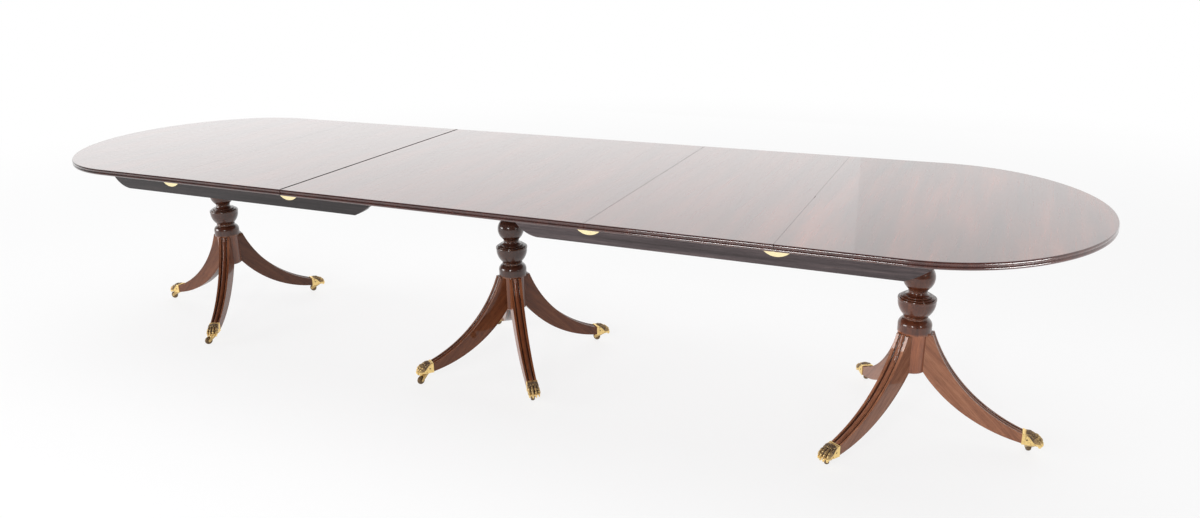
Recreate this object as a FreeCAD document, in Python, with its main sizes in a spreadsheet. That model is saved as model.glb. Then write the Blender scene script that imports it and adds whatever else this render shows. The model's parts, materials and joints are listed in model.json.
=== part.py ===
"""Triple pedestal dining table: three pedestal sections, two loose leaves on rails, ten castors.

Frame: millimetres, +Z up, +X along the table, -Y towards the viewer, origin on the floor under the
middle of the table. Each repeated piece is drawn once as a pattern at the origin and copied to its places.
"""
import FreeCAD, Part
import os
import re
import Sketcher

SIZES = {
    # table top
    "top_height": 740,
    "top_thickness": 20,
    "top_width": 1068,
    "centre_length": 1084,
    "leaf_length": 532,
    "end_length": 796,
    "end_fullness": 26,
    "corner_radius": 430,
    "left_outer_gap": 0.5,
    "left_inner_gap": 3,
    "right_inner_gap": 1.3,
    "right_outer_gap": 1.8,
    "reed_bulge": 2.6,
    "reed_gap": 1.2,
    # rails under the leaves
    "rail_setback": 36,
    "rail_thickness": 22,
    "rail_depth": 49,
    "rail_length": 1166,
    "rail_end_run": 76,
    "rail_low_sag": 11,
    "rail_high_sag": 4,
    "rail_relief": 0.3,
    "left_rail_shift": 25,
    "right_rail_shift": 75,
    "slot_drop": 18,
    "slot_height": 10,
    "slot_depth": 8,
    "slide_clearance": 0.2,
    # cross bearers, which carry the rails on their tongues
    "bearer_width": 50,
    "bearer_depth": 40,
    "bearer_inset": 16,
    # half-moon clip plates on the rails
    "clip_width": 86,
    "clip_drop": 23,
    "clip_thickness": 2.5,
    # pedestals
    "pedestal_offset": 1382,
    "centre_leg_angle": 52,
    "end_leg_angle": 120,
    "block_length": 300,
    "block_depth": 36,
    "block_chamfer": 10,
    # turned column, from the hub upwards
    "hub_bottom": 216,
    "hub_length": 125,
    "hub_radius": 42,
    "hub_chamfer": 3,
    "collar_radius": 49.5,
    "collar_band": 20,
    "collar_shoulder": 23,
    "collar_sag": 5,
    "low_neck_radius": 34,
    "low_neck_length": 3,
    "low_bead_height": 5,
    "bowl_radius": 55,
    "bowl_depth": 49,
    "bowl_sag": 6,
    "bowl_rim": 8,
    "bowl_rim_sag": 1,
    "bead_sag": 2,
    "ring_radius": 48,
    "ring_height": 5,
    "disc_radius": 40,
    "disc_height": 5,
    "top_neck_radius": 26,
    "top_neck_length": 11,
    "top_neck_sag": 4,
    "top_bead_height": 5,
    "ball_radius": 46.5,
    "ball_neck_length": 6,
    "shaft_ring_radius": 36,
    "shaft_ring_height": 10,
    "shaft_foot_radius": 29,
    "shaft_head_radius": 36,
    "head_ring_radius": 52,
    "head_ring_height": 22,
    "post_radius": 30,
    "post_clearance": 0.1,
    "post_gap": 0.3,
    # sabre legs
    "leg_head_width": 42,
    "leg_foot_width": 34,
    "leg_head_reach": 56,
    "leg_reach": 327,
    "leg_foot_top": 70,
    "leg_foot_bottom": 39.5,
    "leg_root_drop": 121,
    "leg_upper_sag": 42.8,
    "leg_lower_sag": 33.9,
    "reed_width": 13,
    "reed_crown": 3,
    "cove_width": 6,
    "cove_sag": 2.2,
    "key_neck": 12,
    "key_root": 18,
    "key_depth": 12,
    "key_height": 110,
    "key_clearance": 0.1,
    "tenon_length": 19,
    "tenon_shoulder": 3,
    "tenon_clearance": 0.15,
    # brass paw caps
    "cap_proud": 1,
    "cap_length": 24,
    "paw_bottom": 36.6,
    "paw_length": 60,
    "paw_width": 45,
    "paw_nose_height": 12,
    "paw_back_sag": 8,
    "toe_sag": 4.5,
    "toe_step": 8,
    "cap_screw_radius": 2,
    "rim_width": 5,
    "rim_proud": 1.2,
    # castors
    "castor_inset": 27,
    "castor_trail": 24,
    "stem_radius": 4,
    "stem_length": 14,
    "stem_clearance": 0.05,
    "swivel_gap": 0.3,
    "crown_thickness": 4.5,
    "crown_radius": 9,
    "wheel_radius": 15,
    "wheel_width": 12,
    "wheel_tread_sag": 2.5,
    "wheel_side_gap": 0.5,
    "wheel_top_gap": 1.5,
    "cheek_thickness": 3,
    "axle_boss_radius": 5,
    "axle_radius": 2,
    "axle_clearance": 0.05,
    # direction each castor trails in, degrees from +X
    "left_outer_trail": 185,
    "left_front_trail": 250,
    "left_back_trail": 185,
    "centre_front_left_trail": 260,
    "centre_front_right_trail": 128,
    "centre_back_right_trail": 162,
    "centre_back_left_trail": 190,
    "right_outer_trail": 105,
    "right_front_trail": 112,
    "right_back_trail": 75,
}

# Measures that follow from the sizes, written once and used by name like a size.
FORMULAS = {
    "half_width": "top_width / 2",
    "underside": "top_height - top_thickness",
    "inner_seam": "centre_length / 2",
    "outer_seam": "inner_seam + leaf_length",
    "end_tip": "outer_seam + end_length",
    "reed_height": "(top_thickness - reed_gap) / 2",
    "end_radius": "half_width + end_fullness",
    "corner_y": "half_width - corner_radius",
    "corner_run": "sqrt((end_radius - corner_radius)^2 - corner_y^2)",
    "corner_x": "end_length - end_radius + corner_run",
    "touch_x": "end_length - end_radius + end_radius * corner_run / (end_radius - corner_radius)",
    "touch_y": "end_radius * corner_y / (end_radius - corner_radius)",
    "corner_chord": "sqrt((touch_x - corner_x)^2 + (half_width - touch_y)^2)",
    "corner_sag": "corner_radius - sqrt(corner_radius^2 - corner_chord^2 / 4)",
    "rail_face": "half_width - rail_setback",
    "rail_back": "rail_face - rail_thickness",
    "leaf_middle": "inner_seam + leaf_length / 2",
    "rail_half": "rail_length / 2",
    "block_bottom": "underside - block_depth",
    "collar_bottom": "hub_bottom + hub_length",
    "collar_edge": "collar_bottom + collar_band",
    "collar_top": "collar_edge + collar_shoulder",
    "low_bead_bottom": "collar_top + low_neck_length",
    "bowl_bottom": "low_bead_bottom + low_bead_height",
    "bowl_widest": "bowl_bottom + bowl_depth",
    "rim_top": "bowl_widest + bowl_rim",
    "ring_top": "rim_top + ring_height",
    "disc_top": "ring_top + disc_height",
    "neck_top": "disc_top + top_neck_length",
    "top_bead_top": "neck_top + top_bead_height",
    "ball_half": "sqrt(ball_radius^2 - top_neck_radius^2)",
    "ball_middle": "top_bead_top + ball_half",
    "ball_top": "ball_middle + ball_half",
    "shaft_ring_bottom": "ball_top + ball_neck_length",
    "shaft_bottom": "shaft_ring_bottom + shaft_ring_height",
    "head_ring_bottom": "block_bottom - head_ring_height",
    "hub_flat": "sqrt(hub_radius^2 - (leg_head_width / 2)^2)",
    "leg_root": "collar_bottom - leg_root_drop",
    "upper_run": "leg_reach - leg_head_reach",
    "upper_fall": "collar_bottom - leg_foot_top",
    "upper_chord": "sqrt(upper_run^2 + upper_fall^2)",
    "upper_radius": "upper_chord^2 / (8 * leg_upper_sag) + leg_upper_sag / 2",
    "upper_rise": "(upper_radius - leg_upper_sag) / upper_chord",
    "upper_centre_x": "(leg_head_reach + leg_reach) / 2 + upper_fall * upper_rise",
    "upper_centre_z": "(collar_bottom + leg_foot_top) / 2 + upper_run * upper_rise",
    "foot_half": "leg_foot_width / 2",
    "cap_half": "foot_half + cap_proud",
    "cap_top": "leg_foot_top + cap_proud",
    "tenon_half": "foot_half - tenon_shoulder",
    "tenon_top": "leg_foot_top - tenon_shoulder",
    "tenon_bottom": "leg_foot_bottom + tenon_shoulder",
    "toe_line": "leg_reach + paw_length",
    "castor_reach": "leg_reach + castor_inset",
    "crown_top": "paw_bottom - swivel_gap",
    "crown_bottom": "crown_top - crown_thickness",
    "fork_width": "wheel_width + 2 * wheel_side_gap + 2 * cheek_thickness",
}

NAMES = set(SIZES) | set(FORMULAS)

# Heights where the two reeds of the top's edge begin and end, from the underside up.
REED_HEIGHTS = ["underside", "underside + reed_height", "top_height - reed_height", "top_height"]

# Where each pedestal stands, and its legs: name and direction from +X.
PEDESTALS = {
    "left": ("-pedestal_offset", {
        "outer": "180", "front": "180 + end_leg_angle", "back": "180 - end_leg_angle"}),
    "centre": ("0", {
        "front_left": "180 + centre_leg_angle", "front_right": "0 - centre_leg_angle",
        "back_right": "centre_leg_angle", "back_left": "180 - centre_leg_angle"}),
    "right": ("pedestal_offset", {
        "outer": "0", "front": "0 - end_leg_angle", "back": "end_leg_angle"}),
}

Z_AXIS = FreeCAD.Vector(0, 0, 1)

doc = FreeCAD.newDocument("dining_table")
sheet = doc.addObject("Spreadsheet::Sheet", "Sizes")
nodes = []


def fill_sheet():
    """Writes each driving size into the sheet under its own name."""
    for row, (name, value) in enumerate(SIZES.items(), start=1):
        sheet.set(f"A{row}", name)
        sheet.set(f"B{row}", str(value))
        sheet.setAlias(f"B{row}", name)
    doc.recompute()


def bound(formula):
    """Turns a formula in plain names into an expression on the sheet's cells."""
    def cell(match):
        name = match.group(0)
        if name in FORMULAS:
            return f"({bound(FORMULAS[name])})"
        return f"Sizes.{name}" if name in NAMES else name
    return re.sub(r"[a-z_]+", cell, formula)


def value(formula):
    """The number that a formula gives now."""
    return float(sheet.evalExpression(bound(formula)))


def new_body(label):
    body = doc.addObject("PartDesign::Body", label)
    body.Label = label
    return body


def new_sketch(body, role, name, x="0", y="0", lift="0"):
    """A sketch on one of the body's origin planes, with its origin moved within and off that plane."""
    sketch = body.newObject("Sketcher::SketchObject", f"{body.Name}_{name}")
    plane = next(item for item in body.Origin.OriginFeatures if item.Role == role)
    sketch.AttachmentSupport = (plane, [""])
    sketch.MapMode = "FlatFace"
    for axis, formula in zip("xyz", (x, y, lift)):
        sketch.setExpression(f"AttachmentOffset.Base.{axis}", bound(formula))
    return sketch


def pin(sketch, edge, end, x, y):
    """Ties a point of the sketch to a formula for each coordinate."""
    for kind, axis, formula in (("DistanceX", -2, x), ("DistanceY", -1, y)):
        if formula == "0":
            sketch.addConstraint(Sketcher.Constraint("PointOnObject", edge, end, axis))
        else:
            index = sketch.addConstraint(Sketcher.Constraint(kind, -1, 1, edge, end, value(formula)))
            sketch.setExpression(f"Constraints[{index}]", bound(formula))


def arc_edge(start, end, sag):
    """An arc from start to end that bulges by sag to the left of the way there."""
    chord = end - start
    left = FreeCAD.Vector(-chord.y, chord.x, 0).normalize()
    return Part.Arc(start, (start + end) / 2 + left * sag, end)


def draw(sketch, points, closed=True):
    """Draws an outline of (x, y) or (x, y, sag) formulas: a sag makes the edge to that point an arc."""
    first = sketch.GeometryCount
    places = [FreeCAD.Vector(value(point[0]), value(point[1]), 0) for point in points]
    pairs = list(zip(range(len(points)), range(1, len(points))))
    if closed:
        pairs.append((len(points) - 1, 0))
    for start, end in pairs:
        bulge = points[end][2] if len(points[end]) == 3 else None
        if bulge is None:
            sketch.addGeometry(Part.LineSegment(places[start], places[end]))
        else:
            sketch.addGeometry(arc_edge(places[start], places[end], value(bulge)))
    ends = [start_end_codes(sketch, first + k, places[start]) for k, (start, end) in enumerate(pairs)]
    for k in range(len(pairs) - (0 if closed else 1)):
        following = (k + 1) % len(pairs)
        sketch.addConstraint(
            Sketcher.Constraint("Coincident", first + k, ends[k][1], first + following, ends[following][0]))
    for k, (start, end) in enumerate(pairs):
        pin(sketch, first + k, ends[k][0], *points[start][:2])
        if len(points[end]) == 3:
            bind_arc(sketch, first + k, points[start], points[end])
    if not closed:
        pin(sketch, first + len(pairs) - 1, ends[-1][1], *points[-1][:2])
    return sketch


def start_end_codes(sketch, edge, start):
    """The codes of an edge's first and last points: an arc may be stored the other way round."""
    return (1, 2) if (sketch.getPoint(edge, 1) - start).Length < 1e-6 else (2, 1)


def bind_arc(sketch, edge, start, end):
    """Ties an arc's radius to its chord and its sag."""
    radius = (f"((({end[0]}) - ({start[0]}))^2 + (({end[1]}) - ({start[1]}))^2)"
              f" / (8 * abs({end[2]})) + abs({end[2]}) / 2")
    index = sketch.addConstraint(Sketcher.Constraint("Radius", edge, value(radius)))
    sketch.setExpression(f"Constraints[{index}]", bound(radius))


def draw_circle(sketch, x, y, radius):
    centre = FreeCAD.Vector(value(x), value(y), 0)
    edge = sketch.addGeometry(Part.Circle(centre, Z_AXIS, value(radius)))
    pin(sketch, edge, 3, x, y)
    index = sketch.addConstraint(Sketcher.Constraint("Radius", edge, value(radius)))
    sketch.setExpression(f"Constraints[{index}]", bound(radius))
    return sketch


def add_feature(body, kind, sketch, name):
    feature = body.newObject(f"PartDesign::{kind}", f"{body.Name}_{name}")
    feature.Profile = sketch
    return feature


def pad(body, sketch, length, name, symmetric=False, back=False):
    feature = add_feature(body, "Pad", sketch, name)
    feature.setExpression("Length", bound(length))
    feature.SideType = "Symmetric" if symmetric else "One side"
    feature.Reversed = back
    return feature


def cut(body, sketch, length, name, symmetric=False, back=False):
    """A pocket; it has to take material away."""
    doc.recompute()
    before = body.Shape.Volume
    feature = add_feature(body, "Pocket", sketch, name)
    feature.setExpression("Length", bound(length))
    feature.SideType = "Symmetric" if symmetric else "One side"
    feature.Reversed = back
    check_cut(body, before, name)
    return feature


def check_cut(body, before, name):
    doc.recompute()
    if body.Shape.Volume >= before:
        raise RuntimeError(f"{body.Label}: {name} cuts nothing")


def turn(body, kind, sketch, name):
    """A full revolution, or a full groove, about the upright axis of its sketch."""
    feature = add_feature(body, kind, sketch, name)
    feature.ReferenceAxis = (sketch, ["V_Axis"])
    feature.Angle = 360
    return feature


def place(item, x="0", y="0", z="0", angle="0"):
    """Puts an object at a place, turned about Z."""
    item.Placement = FreeCAD.Placement(FreeCAD.Vector(0, 0, 0), FreeCAD.Rotation(Z_AXIS, 1))
    for axis, formula in zip("xyz", (x, y, z)):
        item.setExpression(f"Placement.Base.{axis}", bound(formula))
    item.setExpression("Placement.Rotation.Angle", bound(angle))
    return item


def copy_of(pattern, label, **where):
    """A body of its own with the pattern's shape, at its own place."""
    body = new_body(label)
    body.BaseFeature = pattern
    return place(body, **where)


def node(item):
    """Marks an object as a piece of the table, to be written under its label."""
    nodes.append(item)
    return item


def group(label, members):
    """Equal pieces of one body, kept as separate solids under one label."""
    compound = doc.addObject("Part::Compound", label)
    compound.Label = label
    compound.Links = members
    return node(compound)


def reeds(edge, heights, sag):
    """Two reeds, one above the other, up or down the edge of a top."""
    first, second, third, fourth = heights
    return [(edge, first), (edge, second, sag), (edge, third), (edge, fourth, sag)]


def make_straight_top(label, length):
    """A rectangular top section: its reeded cross section, drawn across and padded along the table."""
    body = new_body(label)
    near = reeds("half_width - reed_bulge", REED_HEIGHTS, "0 - reed_bulge")
    far = reeds("reed_bulge - half_width", REED_HEIGHTS[::-1], "0 - reed_bulge")
    section = draw(new_sketch(body, "YZ_Plane", "section"), near + far)
    pad(body, section, length, "board", symmetric=True)
    return body


def end_outline():
    """The D-shaped plan of an end top from its seam: straight sides, corner arcs and the end arc."""
    return [("0", "0 - half_width"),
            ("corner_x", "0 - half_width"),
            ("touch_x", "0 - touch_y", "0 - corner_sag"),
            ("touch_x", "touch_y", "touch_x - end_length"),
            ("corner_x", "half_width", "0 - corner_sag"),
            ("0", "half_width")]


def make_end_top(label):
    """An end top: the D-shaped board, with both reeds run round its edge by a pipe cut."""
    body = new_body(label)
    plan = draw(new_sketch(body, "XY_Plane", "plan", lift="underside"), end_outline())
    pad(body, plan, "top_thickness", "board")
    path = draw(new_sketch(body, "XY_Plane", "path", lift="underside"), end_outline(), closed=False)
    cutter = new_sketch(body, "YZ_Plane", "cutter")
    outside = "0 - half_width - reed_bulge"
    draw(cutter, reeds("reed_bulge - half_width", REED_HEIGHTS, "reed_bulge")
         + [(outside, "top_height"), (outside, "underside")])
    doc.recompute()
    before = body.Shape.Volume
    pipe = add_feature(body, "SubtractivePipe", cutter, "reeds")
    pipe.Spine = path
    check_cut(body, before, "reeds")
    return body


def make_rail(label, near_sag, far_sag):
    """A leaf rail about its own middle, inner side towards +Y: swept-up ends and a slot for the tongues."""
    body = new_body(label)
    side = new_sketch(body, "XZ_Plane", "side")
    draw(side, [("0 - rail_half", "underside"),
                ("rail_end_run - rail_half", "underside - rail_depth", f"0 - {near_sag}"),
                ("rail_half - rail_end_run", "underside - rail_depth"),
                ("rail_half", "underside", f"0 - {far_sag}")])
    pad(body, side, "rail_thickness", "board", back=True)
    slot = new_sketch(body, "YZ_Plane", "slot")
    draw(slot, [("rail_thickness - slot_depth", "underside - slot_drop - slot_height"),
                ("rail_thickness", "underside - slot_drop - slot_height"),
                ("rail_thickness", "underside - slot_drop"),
                ("rail_thickness - slot_depth", "underside - slot_drop")])
    cut(body, slot, "rail_length", "slot_cut", symmetric=True)
    return body


def ease_rail(body, shift):
    """Eases the rail's upper face past both ends of its leaf, clear of the tops it slides under."""
    ease = new_sketch(body, "XZ_Plane", "ease")
    for end, seam in (("0 - rail_half", f"0 - leaf_length / 2 - ({shift})"),
                      ("rail_half", f"leaf_length / 2 - ({shift})")):
        draw(ease, [(end, "underside - rail_relief"), (seam, "underside - rail_relief"),
                    (seam, "underside"), (end, "underside")])
    cut(body, ease, "rail_thickness", "ease_cut")


def make_bearer(label):
    """A cross bearer about X = 0: a batten whose tongued ends run in the rails' slots."""
    body = new_body(label)
    section = new_sketch(body, "YZ_Plane", "section")
    shoulder = "(rail_back - slide_clearance)"
    tip = "(rail_back + slot_depth - slide_clearance)"
    tongue_top = "underside - slot_drop - slide_clearance"
    tongue_bottom = "underside - slot_drop - slot_height + slide_clearance"
    draw(section, [(f"0 - {shoulder}", "underside - bearer_depth"), (shoulder, "underside - bearer_depth"),
                   (shoulder, tongue_bottom), (tip, tongue_bottom), (tip, tongue_top),
                   (shoulder, tongue_top), (shoulder, "underside"), (f"0 - {shoulder}", "underside"),
                   (f"0 - {shoulder}", tongue_top), (f"0 - {tip}", tongue_top),
                   (f"0 - {tip}", tongue_bottom), (f"0 - {shoulder}", tongue_bottom)])
    pad(body, section, "bearer_width", "batten", symmetric=True)
    return body


def make_clip(label):
    """A half-moon clip plate about its seam, lying on the plane Y = 0 and proud of it towards -Y."""
    body = new_body(label)
    face = new_sketch(body, "XZ_Plane", "face")
    draw(face, [("0 - clip_width / 2", "underside - rail_relief"),
                ("clip_width / 2", "underside - rail_relief", "0 - clip_drop")])
    pad(body, face, "clip_thickness", "plate")
    return body


def make_block(label):
    """The block between a column and its top, chamfered below, with the hole for the column's post."""
    body = new_body(label)
    side = new_sketch(body, "XZ_Plane", "side")
    draw(side, [("block_chamfer - block_length / 2", "block_bottom"),
                ("block_length / 2 - block_chamfer", "block_bottom"),
                ("block_length / 2", "block_bottom + block_chamfer"),
                ("block_length / 2", "underside"),
                ("0 - block_length / 2", "underside"),
                ("0 - block_length / 2", "block_bottom + block_chamfer")])
    pad(body, side, "block_length", "board", symmetric=True)
    bore = draw_circle(new_sketch(body, "XY_Plane", "bore", lift="underside"), "0", "0",
                       "post_radius + post_clearance")
    cut(body, bore, "block_depth", "bore_cut")
    return body


def column_profile():
    """Half the turned column, from the foot of the hub to the post, radius and height."""
    return [("0", "hub_bottom"),
            ("hub_radius - hub_chamfer", "hub_bottom"),
            ("hub_radius", "hub_bottom + hub_chamfer"),
            ("hub_radius", "collar_bottom"),
            ("collar_radius", "collar_bottom"),
            ("collar_radius", "collar_edge"),
            ("low_neck_radius", "collar_top", "0 - collar_sag"),
            ("low_neck_radius", "low_bead_bottom"),
            ("low_neck_radius", "bowl_bottom", "0 - bead_sag"),
            ("bowl_radius", "bowl_widest", "0 - bowl_sag"),
            ("bowl_radius", "rim_top", "0 - bowl_rim_sag"),
            ("ring_radius", "rim_top"),
            ("ring_radius", "ring_top", "0 - bead_sag"),
            ("disc_radius", "ring_top"),
            ("disc_radius", "disc_top", "0 - bead_sag"),
            ("top_neck_radius", "neck_top", "top_neck_sag"),
            ("top_neck_radius", "top_bead_top", "0 - bead_sag"),
            ("top_neck_radius", "ball_top", "top_neck_radius - ball_radius"),
            ("top_neck_radius", "shaft_ring_bottom"),
            ("shaft_ring_radius", "shaft_ring_bottom"),
            ("shaft_ring_radius", "shaft_bottom"),
            ("shaft_foot_radius", "shaft_bottom"),
            ("shaft_head_radius", "head_ring_bottom"),
            ("head_ring_radius", "head_ring_bottom"),
            ("head_ring_radius", "block_bottom"),
            ("post_radius", "block_bottom"),
            ("post_radius", "underside - post_gap"),
            ("0", "underside - post_gap")]


def make_column(label, leg_angles):
    """A turned column with a flat and a dovetail slot in its hub for each leg."""
    body = new_body(label)
    turn(body, "Revolution", draw(new_sketch(body, "XZ_Plane", "profile"), column_profile()), "turning")
    for number, angle in enumerate(leg_angles):
        seat = new_sketch(body, "XY_Plane", f"seat_{number}", lift="hub_bottom")
        half = "leg_head_width / 2"
        draw_turned(seat, angle, [("hub_flat", f"0 - {half}"), ("hub_radius", f"0 - {half}"),
                                  ("hub_radius", half), ("hub_flat", half)])
        cut(body, seat, "hub_length", f"seat_cut_{number}", back=True)
        slot = new_sketch(body, "XY_Plane", f"slot_{number}", lift="hub_bottom")
        draw_turned(slot, angle, key_section("key_clearance"))
        cut(body, slot, "leg_root - hub_bottom + key_height + key_clearance", f"slot_cut_{number}", back=True)
    return body


def key_section(clearance):
    """The dovetail between a leg and the hub, widened all round by a clearance."""
    neck = f"(key_neck / 2 + {clearance})"
    root = f"(key_root / 2 + {clearance})"
    inner = f"hub_flat - key_depth - {clearance}"
    return [("hub_flat", f"0 - {neck}"), ("hub_flat", neck), (inner, root), (inner, f"0 - {root}")]


def draw_turned(sketch, angle, points):
    """Draws an outline turned about the sketch's origin by an angle in degrees."""
    turned = [(f"({x}) * cos({angle}) - ({y}) * sin({angle})", f"({x}) * sin({angle}) + ({y}) * cos({angle})")
              for x, y in points]
    return draw(sketch, turned)


def make_leg(label):
    """A sabre leg along +X: swept side, tapered width, reeded upper face, dovetail key and foot tenon."""
    body = new_body(label)
    side = new_sketch(body, "XZ_Plane", "side")
    draw(side, [("hub_flat", "collar_bottom"),
                ("hub_flat", "leg_root"),
                ("leg_reach", "leg_foot_bottom", "0 - leg_lower_sag"),
                ("leg_reach", "leg_foot_top"),
                ("leg_head_reach", "collar_bottom", "leg_upper_sag")])
    pad(body, side, "leg_head_width", "blank", symmetric=True)
    taper_leg(body)
    reed_leg(body)
    key = draw(new_sketch(body, "XY_Plane", "key", lift="leg_root"), key_section("0"))
    pad(body, key, "key_height", "dovetail")
    tenon = new_sketch(body, "YZ_Plane", "tenon", lift="leg_reach")
    draw(tenon, [("0 - tenon_half", "tenon_bottom"), ("tenon_half", "tenon_bottom"),
                 ("tenon_half", "tenon_top"), ("0 - tenon_half", "tenon_top")])
    pad(body, tenon, "tenon_length", "foot_tenon")
    return body


def reed_leg(body):
    """Works a rounded reed between two coves along the leg's upper face, about that face's own centre."""
    reeding = new_sketch(body, "XY_Plane", "reeding", x="upper_centre_x", lift="upper_centre_z")
    above = "reed_crown - upper_radius"
    face = "0 - upper_radius"
    quirk = "0 - upper_radius - reed_crown"
    cove_edge = "(reed_width / 2 + cove_width)"
    draw(reeding, [(above, f"0 - {cove_edge}"),
                   (face, f"0 - {cove_edge}"),
                   (quirk, "0 - reed_width / 2", "cove_sag"),
                   (quirk, "reed_width / 2", "0 - reed_crown"),
                   (face, cove_edge, "cove_sag"),
                   (above, cove_edge)])
    doc.recompute()
    before = body.Shape.Volume
    turn(body, "Groove", reeding, "reeding_cut")
    check_cut(body, before, "reeding_cut")


def taper_leg(body):
    """Planes both sides of the leg down from its head's width to its foot's width."""
    wedges = new_sketch(body, "XY_Plane", "wedges")
    for side in ("", "0 - "):
        head = f"{side}leg_head_width / 2"
        draw(wedges, [("leg_head_reach", head), ("leg_reach", f"{side}foot_half"), ("leg_reach", head)])
    cut(body, wedges, "collar_bottom", "taper", back=True)


def make_paw(label):
    """A brass paw cap along +X: socket for the leg's tenon, four toes, bore for the castor's stem."""
    body = new_body(label)
    plan = new_sketch(body, "XY_Plane", "plan", lift="paw_bottom")
    flare = "leg_reach + cap_length"
    half = "paw_width / 2"
    draw(plan, [("leg_reach", "0 - cap_half"),
                (flare, "0 - cap_half"),
                ("toe_line - toe_step", f"0 - {half}"),
                ("toe_line", "0 - paw_width / 4", "0 - toe_sag"),
                ("toe_line", "0", "0 - toe_sag"),
                ("toe_line", "paw_width / 4", "0 - toe_sag"),
                ("toe_line - toe_step", half, "0 - toe_sag"),
                (flare, "cap_half"),
                ("leg_reach", "cap_half")])
    pad(body, plan, "cap_top - paw_bottom", "casting")
    carve_paw(body)
    rim = new_sketch(body, "YZ_Plane", "rim", lift="leg_reach")
    rim_half = "(cap_half + rim_proud)"
    draw(rim, [(f"0 - {rim_half}", "paw_bottom"), (rim_half, "paw_bottom"),
               (rim_half, "cap_top + rim_proud"), (f"0 - {rim_half}", "cap_top + rim_proud")])
    pad(body, rim, "rim_width", "rim_band")
    socket = new_sketch(body, "YZ_Plane", "socket", lift="leg_reach")
    wide = "(tenon_half + tenon_clearance)"
    draw(socket, [(f"0 - {wide}", "tenon_bottom - tenon_clearance"), (wide, "tenon_bottom - tenon_clearance"),
                  (wide, "tenon_top + tenon_clearance"), (f"0 - {wide}", "tenon_top + tenon_clearance")])
    cut(body, socket, "tenon_length + tenon_clearance", "socket_cut", back=True)
    bore = draw_circle(new_sketch(body, "XY_Plane", "bore", lift="paw_bottom"), "castor_reach", "0",
                       "stem_radius + stem_clearance")
    cut(body, bore, "stem_length", "bore_cut", back=True)
    screw = draw_circle(new_sketch(body, "XZ_Plane", "screw"), "leg_reach + tenon_length / 2",
                        "(tenon_top + tenon_bottom) / 2", "cap_screw_radius")
    cut(body, screw, "paw_width", "screw_holes", symmetric=True)
    return body


def carve_paw(body):
    """Shapes the cap's upper side beyond the level socket: a rounded paw falling to the toes."""
    carving = new_sketch(body, "XZ_Plane", "carving")
    front = "toe_line + 2 * toe_sag"
    draw(carving, [("leg_reach + cap_length", "cap_top"),
                   (front, "paw_bottom + paw_nose_height", "paw_back_sag"),
                   (front, "cap_top")])
    cut(body, carving, "2 * paw_width", "carve", symmetric=True)


def make_fork(label):
    """A castor fork swivelling about Z and trailing along +X: stem, crown, two raked cheeks and the axle."""
    body = new_body(label)
    side = new_sketch(body, "XZ_Plane", "side")
    boss = "axle_boss_radius"
    draw(side, [("0 - crown_radius", "crown_top"),
                ("0 - crown_radius", "crown_bottom"),
                (f"castor_trail - {boss}", f"wheel_radius - {boss} / 2"),
                (f"castor_trail + {boss}", f"wheel_radius + {boss} / 2", f"0 - {boss}"),
                ("crown_radius", "crown_top")])
    pad(body, side, "fork_width", "blank", symmetric=True)
    slot = draw_circle(new_sketch(body, "XZ_Plane", "slot"), "castor_trail", "wheel_radius",
                       "wheel_radius + wheel_top_gap")
    cut(body, slot, "wheel_width + 2 * wheel_side_gap", "slot_cut", symmetric=True)
    axle = draw_circle(new_sketch(body, "XZ_Plane", "axle"), "castor_trail", "wheel_radius", "axle_radius")
    pad(body, axle, "fork_width", "axle_pin", symmetric=True)
    stem = draw_circle(new_sketch(body, "XY_Plane", "stem", lift="crown_top"), "0", "0", "stem_radius")
    pad(body, stem, "stem_length", "stem_pin")
    return body


def make_wheel(label):
    """A castor wheel about its axle along Y, placed as it hangs in a fork that trails along +X."""
    body = new_body(label)
    section = new_sketch(body, "XY_Plane", "section", x="castor_trail", lift="wheel_radius")
    bore = "axle_radius + axle_clearance"
    rim = "wheel_radius - wheel_tread_sag"
    draw(section, [(bore, "0 - wheel_width / 2"),
                   (rim, "0 - wheel_width / 2"),
                   (rim, "wheel_width / 2", "0 - wheel_tread_sag"),
                   (bore, "wheel_width / 2")])
    turn(body, "Revolution", section, "wheel")
    return body


def build_tops():
    """Five top sections; each leaf is short of its place by the gap at either end."""
    node(make_straight_top("centre_top", "centre_length"))
    for hand, sign in (("left", "0 - "), ("right", "")):
        leaf = make_straight_top(f"{hand}_leaf", f"leaf_length - {hand}_inner_gap - {hand}_outer_gap")
        node(place(leaf, x=f"{sign}(leaf_middle + ({hand}_inner_gap - {hand}_outer_gap) / 2)"))
    end = make_end_top("end_top_pattern")
    node(copy_of(end, "left_end_top", x="0 - outer_seam", angle="180"))
    node(copy_of(end, "right_end_top", x="outer_seam"))


def build_rails():
    """Two rails and four clip plates on each leaf; each rail's inner side faces the middle of the table."""
    clip = make_clip("clip_pattern")
    rows = {"front": ("0 - rail_face", "0", "", ("rail_low_sag", "rail_high_sag")),
            "back": ("rail_face", "180", "0 - ", ("rail_high_sag", "rail_low_sag"))}
    for hand, middle in (("left", "0 - leaf_middle"), ("right", "leaf_middle")):
        clips = []
        for row, (y, angle, sign, sags) in rows.items():
            rail = make_rail(f"{hand}_{row}_rail", *sags)
            ease_rail(rail, f"{sign}{hand}_rail_shift")
            node(place(rail, x=f"{middle} + {hand}_rail_shift", y=y, angle=angle))
            for end, side in (("low", "-"), ("high", "+")):
                seam = f"{middle} {side} leaf_length / 2"
                clips.append(copy_of(clip, f"{hand}_{row}_{end}_clip", x=seam, y=y, angle=angle))
        group(f"{hand}_clips", clips)


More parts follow.
